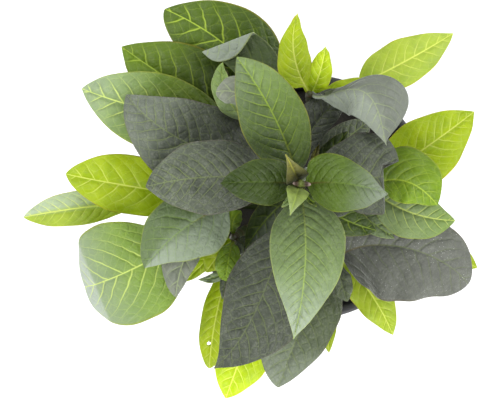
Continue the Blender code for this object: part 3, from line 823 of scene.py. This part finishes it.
    slot, skin = SKINS[kind]
    piece = keep("blade_" + name, shape, skin)
    piece.vertex_groups.new(name="keel")
    body = piece.modifiers.new("Thickness", "SOLIDIFY")
    body.thickness = RIB_THICKNESS * MM * size["stoutness"]
    body.thickness_vertex_group = LEAF_THICKNESS / RIB_THICKNESS
    body.vertex_group = "keel"
    body.offset = -1
    if own:
        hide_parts("leaf_" + name)


# Leaves of the centre shoot.
# The tallest shoot, with its leaves in crossed pairs that grow larger, darker and greyer
# downwards; the youngest pair still clasps the bud.
leaf(
    "centre", "1_back", "bronze", 158.5, [(-8.3, 9.8, 167.5), (-10.5, 14, 171)], width=8.5, stalk=1,
    belly=0.2, fold=22, quilt=0.1, wave=0.1, small=True, depth=(0.2, 1.35),
)
leaf(
    "centre", "1_front", "young", 158.5, [(-7.5, -1.6, 166.5), (-9, -6, 170)], width=8, stalk=1, belly=0.24,
    fold=22, quilt=0.1, wave=0.1, small=True, depth=(0.85, 0.92), painted_sheen_and_pallor=(0, 0.3),
)
leaf(
    "centre", "2_left", "upper", 153, [(-19.5, 5, 163), (-32.5, 4.5, 159)], width=16, stalk=2, belly=0.44,
    power=1.15, spacing=3.2, quilt=0.22, depth=(0.44, 0.64), lime=(0.12, 0.0),
)
leaf(
    "centre", "2_right", "upper", 153, [(9.5, 4.5, 163), (24.5, 1, 158)], width=20, stalk=2,
    belly=(0.3, 0.44), power=(1.2, 1.05), spacing=3.3, quilt=0.25, depth=(0.78, 1.04), painted_sheen_and_pallor=(0, 0.55),
    lime=(0.25, 0),
)
leaf(
    "centre", "3_back", "green", 145, [(-14.5, 28, 154), (-27, 48, 149)], width=(12.2, 11), stalk=3.5,
    belly=(0.42, 0.47), spacing=4.4, quilt=0.5, depth=(0.62, 1.14), painted_sheen_and_pallor=(0.05, 0.25),
    lime=((0, 0.1), (0.15, 0.35)),
)
leaf(
    "centre", "3_front", "pale", 145, [(-3.5, -22, 154), (-7.5, -49, 149)], width=(13.7, 12.6), belly=0.36,
    power=1.2, spacing=3.8, quilt=0.7, depth=(0.66, 1.17), painted_sheen_and_pallor=(0.05, 0.7),
)
leaf(
    "centre", "4_left", "dark", 130, [(-33, 7, 141), (-59, 3.5, 134)], width=26.5, stalk=11, belly=0.46,
    spacing=3.9, quilt=0.45, depth=(0.48, 1.12),
)
leaf(
    "centre", "4_right", "dark", 130, [(13, 6, 138), (30, 7.5, 135)], width=(16, 13.5), belly=(0.66, 0.72),
    power=(0.65, 0.9), quilt=0.45, torn=(24.3, 12, 25.3, -7), depth=(0.55, 0.68),
)
leaf(
    "centre", "5_front", "dark", 117, [(-15.5, -28.5, 128), (-23, -45.5, 127), (-35.5, -61.5, 119)],
    width=(17.6, 13.6), stalk=14, belly=(0.45, 0.42), power=(1.45, 1.35), spacing=4.6, quilt=0.35,
    depth=(0.56, 0.7),
)
leaf(
    "centre", "5_back", "dark", 119, [(-1.5, 21.5, 127.5), (12, 37, 124)], width=(7.6, 5.2), stalk=3.5,
    belly=(0.6, 0.66), spacing=3.6, quilt=0.5, depth=(0.4, 0.55),
)
leaf(
    "centre", "6_left", "dark", 108, [(-26, 11.5, 122), (-44.5, 19, 129), (-66.5, 36.5, 122)],
    width=(16, 16.5), stalk=14.5, belly=(0.44, 0.42), spacing=4.8, quilt=0.4, depth=(0.5, 1.02),
    painted_sheen_and_pallor=(0, 0.2),
)
leaf(
    "centre", "6_right", "dark", 121, [(5, -2.5, 127), (12.5, -5.5, 126)], width=8, belly=0.55, small=True,
    depth=(0.5, 0.6),
)
leaf(
    "centre", "7_front", "green", 104, [(-16, -7.5, 112), (-24, -18.5, 111)], width=11, belly=0.45,
    depth=(0.5, 0.7), painted_sheen_and_pallor=((0.3, 0.35), (0, 0)),
)
leaf(
    "centre", "7_back", "dark", 107, [(8, 17, 114), (21.5, 28, 112)], width=13, stalk=3.5, spacing=3.2,
    depth=(0.9, 1.2),
)
leaf(
    "centre", "7_right", "green", 111, [(12.5, -8.5, 118), (23, -12, 116)], width=11.5, stalk=7, belly=0.45,
    depth=(0.56, 0.78),
)
leaf(
    "centre", "9_back", "green", 112, [(4.5, 13.5, 119), (12.5, 23.5, 118)], width=7.5, stalk=4, small=True,
    own=False, depth=(0.3, 0.5),
)
leaf(
    "centre", "9_curl", "bronze", 119, [(0.6, 15, 124), (1.5, 19.6, 126)], width=2.8, stalk=8, belly=0.6,
    fold=45, small=True, own=False, depth=(1.2, 1.4),
)
leaf(
    "centre", "9_pale", "silver", 149, [(-2.8, 8, 151), (-0.9, 10.7, 151.5)], width=3.4, stalk=1,
    small=True, own=False, painted_sheen_and_pallor=(0.5, 0.6),
)
leaf(
    "centre", "9_left", "pale", 147, [(-8.4, -0.6, 148.5), (-11.6, -3.4, 149.5)], width=2.6, stalk=1,
    fold=35, small=True, own=False, depth=(0.8, 1.0),
)
leaf(
    "centre", "9_front", "green", 148, [(-2.8, 0.4, 149.5), (0.4, -3.4, 150)], width=2.6, stalk=1, fold=35,
    small=True, own=False, depth=(0.8, 1.0),
)
leaf(
    "centre", "8_right", "pale", 102, [(17.5, -6.5, 112), (29.5, -15, 114)], width=9.5, stalk=11,
    small=True, depth=(0.66, 0.86), painted_sheen_and_pallor=(0.2, 0.2),
)


# Leaves of the north-east shoot.
# A silvery one hangs over on its outer side, above small thin ones that the light shines
# through, on slender stalks.
leaf(
    "north_east", "1", "silver", 128, [(9, 37, 136), (18, 35.8, 142.5), (22.8, 27, 143), (25.1, 17.8, 140)],
    width=(13.5, 9.6), belly=(0.67, 0.46), power=(4, 1.6), fold=(-16, 6), curl=14, span=9.0, spacing=4.4,
    quilt=0.15, depth=((0.42, 0.52), (0.9, 0.74)), painted_sheen_and_pallor=((0.5, 0.45), (0.8, 0.5)),
)
leaf(
    "north_east", "2", "lime", 127, [(-7, 51, 131), (-5.5, 65, 126)], width=(6.8, 5.6), belly=(0.25, 0.38),
    power=1.1, spacing=3.0, depth=(0.84, 1.2),
)
leaf(
    "north_east", "3", "lime", 120, [(2, 43, 126), (4.5, 53.5, 123)], width=9, stalk=1, belly=0.4,
    power=1.1, spacing=2.8, small=True, depth=(1.45, 1.58),
)
leaf("north_east", "4", "lime", 112, [(11.5, 38, 117), (23.5, 40.5, 114)], width=8.5, stalk=2, small=True)
leaf(
    "north_east", "5", "lime", 101, [(25, 44.5, 113), (51.5, 59.5, 107)], width=(8.6, 8.5), stalk=20,
    belly=(0.38, 0.42), spacing=4.6, quilt=0.2, depth=(1.0, 1.1), painted_sheen_and_pallor=(0.15, 0.2),
)


# Leaves of the east shoot.
# Bright thin ones on short stalks that reach past the pot, the upper two shading the lower two.
leaf(
    "east", "1", "lime_green", 117, [(32, 5.8, 124), (44.5, -3, 120)], width=(12.4, 8), belly=0.42,
    spacing=4.0, quilt=0.2, depth=((0.6, 1.25), (0.95, 1.4)),
)
leaf(
    "east", "2", "veined_pale", 110, [(36.5, -6, 117), (51.5, -8.5, 114)], width=(8, 9.6), stalk=4.5,
    belly=0.44, spacing=4.0, quilt=0.25, depth=(0.76, 0.94), painted_sheen_and_pallor=(0.35, 0.2), lime=(0, 0.35),
)
leaf(
    "east", "3", "lime", 105, [(40.5, 17.5, 113), (59, 31, 108)], width=(11.2, 13), stalk=6,
    belly=(0.42, 0.4), spacing=3.9, quilt=0.25, depth=(0.82, 1.0),
)
leaf("east", "4", "lime", 84, [(46, -17, 93), (62, -26.3, 90)], width=15, stalk=7, depth=(0.8, 0.9))


# Leaves of the south-east shoot.
# One broad leathery leaf with dried lime specks lies over darker and lighter ones, all of
# them round one joint after another of the same stem.
leaf(
    "south_east", "1", "dark", 104, [(10.5, -30, 108.5), (13, -38, 107)], width=8, stalk=2, small=True,
    depth=(0.56, 0.66), lime=(0, 0.1),
)
leaf(
    "south_east", "2", "dusty", 98, [(28, -17.5, 108), (43.5, -21.5, 108), (57.5, -32, 101)],
    width=(14.5, 20.2), stalk=1, belly=(0.46, 0.4), power=(0.8, 0.55), span=8.0, quilt=0.3, wave=0.9,
    depth=(0.76, 1.0),
)
leaf(
    "south_east", "3", "dark", 93, [(-4, -48, 104), (-12, -70, 99)], width=(12.2, 16), stalk=3.5,
    belly=0.43, power=(1, 0.75), spacing=4.6, quilt=0.2, depth=(0.62, 0.86), painted_sheen_and_pallor=(0, 0.35),
    lime=(0.1, 0.1),
)
leaf(
    "south_east", "4", "lime", 82, [(23.5, -37.5, 90), (31, -51.5, 86)], width=15, stalk=4.5, belly=0.44,
    spacing=3.4, depth=(0.97, 1.25), painted_sheen_and_pallor=(0.08, 0.08),
)
leaf(
    "south_east", "5", "lime", 76, [(6.5, -44.5, 84), (7.2, -58.5, 82)], width=8.5, stalk=3.5, small=True,
    depth=(0.8, 0.8),
)


# Leaf of the south shoot.
# The lowest on this side, thin and bright, coming out from under the others on a long stalk.
leaf(
    "south", "1", "lime", 76, [(-24, -55, 87), (-31.5, -75.5, 83)], width=(11.3, 10.5), stalk=7, belly=0.46,
    spacing=4.0, depth=(1.42, 1.6),
)


# Leaves of the south-west shoot.
# A young side shoot of narrow leaves, and one long bright leaf below them that has been
# bitten through.
leaf(
    "south_west", "1", "green", 109, [(-30, -22, 114), (-31.2, -30.5, 109)], width=9.5, stalk=1.5,
    spacing=3.0, small=True, depth=(1.3, 1.7), lime=(0.4, 0.5),
)
leaf(
    "south_west", "2", "lime", 105, [(-34.5, -22, 106), (-38.5, -27.5, 103)], width=8, stalk=1, small=True,
    depth=(0.9, 1.0),
)
leaf("south_west", "3", "lime", 96, [(-38, -23, 99), (-46.3, -31.2, 96)], width=6, stalk=1.5, small=True)
leaf(
    "south_west", "4", "lime", 84, [(-35, -44.5, 96), (-37.5, -63.5, 92)], width=(6.8, 5.4), stalk=7,
    belly=0.6, spacing=3.6, hole=(-37.5, -54, 0.75), depth=(0.84, 0.87),
)
leaf(
    "south_west", "5", "dark", 108.5, [(-25.3, -16.5, 110.5), (-21.5, -22, 107)], width=7.5, stalk=1,
    belly=0.4, small=True, own=False, depth=(0.9, 1.1),
)
leaf(
    "south_west", "6", "pale", 92, [(-34, -29, 99), (-41.5, -30.4, 97)], width=4.5, stalk=1.5, small=True,
    own=False, depth=(1.1, 1.2), painted_sheen_and_pallor=(0.3, 0.5),
)
leaf(
    "south_west", "7", "dark", 98, [(-31, -28.5, 103), (-32.5, -37.5, 101)], width=4.5, stalk=1.5,
    small=True, own=False,
)
leaf(
    "south_west", "8", "lime_green", 107, [(-28.8, -9.5, 109), (-25.6, -5, 107)], width=6, stalk=1,
    small=True, own=False, depth=(0.7, 1.0),
)


# Leaves of the west shoot.
# Three broad ones in a fan over the edge of the pot; the lowest turns its tip down.
leaf(
    "west", "1", "upper", 125, [(-44, -10, 131), (-60, -25.5, 122)], width=(13.2, 12.4), belly=(0.3, 0.42),
    quilt=0.25, depth=(1.14, 1.38), painted_sheen_and_pallor=((0.4, 0.6), (0.1, 0.15)),
)
leaf(
    "west", "2", "silver", 112, [(-45, -20.5, 121), (-49, -36, 118)], width=(5, 9), depth=(0.68, 0.72),
    painted_sheen_and_pallor=(0.1, 0.25),
)
leaf(
    "west", "3", "veined_pale", 105, [(-53, -20, 115), (-69, -28, 114), (-84.7, -33.6, 102)],
    width=(19.2, 20.4), stalk=24, belly=(0.5, 0.6), power=(0.8, 1.0), spacing=5.8, quilt=0.2, wave=0.8,
    bent=(-72.1, -43.9, -83, -17.4), depth=(0.98, 1.06), painted_sheen_and_pallor=(0.12, 0.8), lime=(0.45, 0.05),
)


# Leaves of the far west shoot.
# Two long thin ones that reach out over the table, one of them on a very long stalk.
leaf(
    "far_west", "1", "lime", 96, [(-55, 2, 106), (-69.5, 4.5, 107), (-90, 8.5, 100)], width=(10.5, 11.4),
    belly=(0.5, 0.52), spacing=6.0, quilt=0.3, depth=(0.84, 1.1),
)
leaf(
    "far_west", "2", "lime", 88, [(-70.5, -2.5, 97), (-106.5, -7.5, 90)], width=13, stalk=30, belly=0.52,
    spacing=3.8, depth=((0.9, 1.0), (1.15, 1.35)), painted_sheen_and_pallor=((0.12, 0.15), (0.85, 1.0)),
)


# Leaves of the north-west shoot.
# A small silvery pair, hardly stalked, over two large leaves.
leaf(
    "north_west", "1", "silver", 135, [(-26.5, 35.8, 141), (-34.3, 36.6, 138)], width=(4.4, 6.3), stalk=1,
    belly=(0.68, 0.5), small=True, depth=(0.8, 0.8), painted_sheen_and_pallor=(0.1, 0.2),
)
leaf(
    "north_west", "2", "pale", 125, [(-31, 36, 132), (-32, 47.5, 129)], width=(4.4, 3.8), stalk=2,
    belly=(0.5, 0.36), depth=(0.85, 0.95), painted_sheen_and_pallor=(0.15, 0.05), lime=(0.1, 0.3),
)
leaf(
    "north_west", "3", "veined_pale", 113, [(-52.5, 29.5, 121), (-83, 39, 114)], width=(14.2, 14), stalk=7,
    belly=(0.44, 0.5), spacing=6.2, quilt=0.8, depth=((0.32, 1.26), (0.36, 1.3)),
    painted_sheen_and_pallor=((0.0, 0.5), (0.0, 0.55)),
)
leaf(
    "north_west", "4", "veined", 105, [(-49.5, 41, 114), (-69, 54.5, 109)], width=(13, 16), stalk=8,
    belly=(0.42, 0.42), spacing=6.8, quilt=0.45, depth=((0.46, 0.9), (0.36, 0.78)), lime=(0, 0.5),
)


# Leaves of the north shoot.
# A broad quilted leaf, and above it one whose far side has folded right over.
leaf(
    "north", "1", "pale", 110, [(-22.5, 48, 118.5), (-39.6, 52.2, 118)], width=(7, 10.4), stalk=2,
    belly=(0.35, 0.62), power=(1.5, 0.5), fold=5, curl=(10, 0), crease=(-39, 50.8, -22.1, 57.3),
    depth=(0.42, 0.5), painted_sheen_and_pallor=(0.1, 0.1),
)
leaf(
    "north", "2", "veined", 99, [(-32.5, 56, 110), (-53.5, 68.5, 105)], width=(12.2, 15.8), stalk=3.5,
    belly=(0.55, 0.4), power=(0.8, 1), spacing=7.4, depth=(0.82, 1.02), lime=(0, 0.2),
)


# Bud.
# The closed tip of the centre shoot: two tiny leaves of soft young tissue, still rolled up,
# with the heart of the shoot between them. It sits right on the end of the stem.
HALVES_MEET = -5.2

# Soft young bud tissue: matt, mottled red-brown, olive where its halves meet and a dull pink at
# the tips, partly their own colour and partly a painted highlight.
bud_skin, tree, shader = finish_named("red_brown_bud_skin")
where = place_in(tree)
sideways = add(tree, "ShaderNodeSeparateXYZ", {0: where}).outputs[0]
away = maths(tree, "ABSOLUTE", maths(tree, "SUBTRACT", sideways, HALVES_MEET * MM))
colour = blend(tree, clouds(tree, where, 900.0, 2.0), "#1C1A0A", "#38251A")
colour = blend(tree, ramp(tree, away, 0.0004, 0.0014, 1, 0), colour, "#4A5420")
colour = blend(tree, ramp(tree, away, 0.002, 0.0028), colour, "#80706A")
tree.links.new(colour, shader.inputs["Base Color"])
shader.inputs["Roughness"].default_value = 0.55
shader.inputs["Specular IOR Level"].default_value = 0.25
bud_shape = bmesh.new()
for side, length in ((-1, 3.3), (1, 3.9)):
    leaflet = bmesh.ops.create_uvsphere(bud_shape, u_segments=24, v_segments=16, radius=1)["verts"]
    for vert in leaflet:
        # Each leaflet is rolled from both margins and drawn out to a blunt hooked tip.
        outward = (vert.co.x * side + 1) / 2
        narrow = 1.25 - 0.5 * outward
        hook = 0.5 * outward ** 2
        seam = 0.25 * math.exp(-((vert.co.y / 0.25) ** 2)) * max(vert.co.z, 0)
        vert.co = Vector((
            -5.3 + side * (length * outward - 0.5),
            4.3 + vert.co.y * narrow * 0.95 - hook * 0.4 * side,
            165.6 + (vert.co.z - seam) * narrow * 1.9 + hook,
        )) * MM
heart = bmesh.ops.create_uvsphere(bud_shape, u_segments=16, v_segments=12, radius=MM)["verts"]
bmesh.ops.scale(bud_shape, verts=heart, vec=(1.0, 1.3, 2.4))
bmesh.ops.translate(bud_shape, verts=heart, vec=Vector((-5.4, 4.5, 165.4)) * MM)
bud = keep("shoot_tip", bud_shape, bud_skin)
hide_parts("bud")
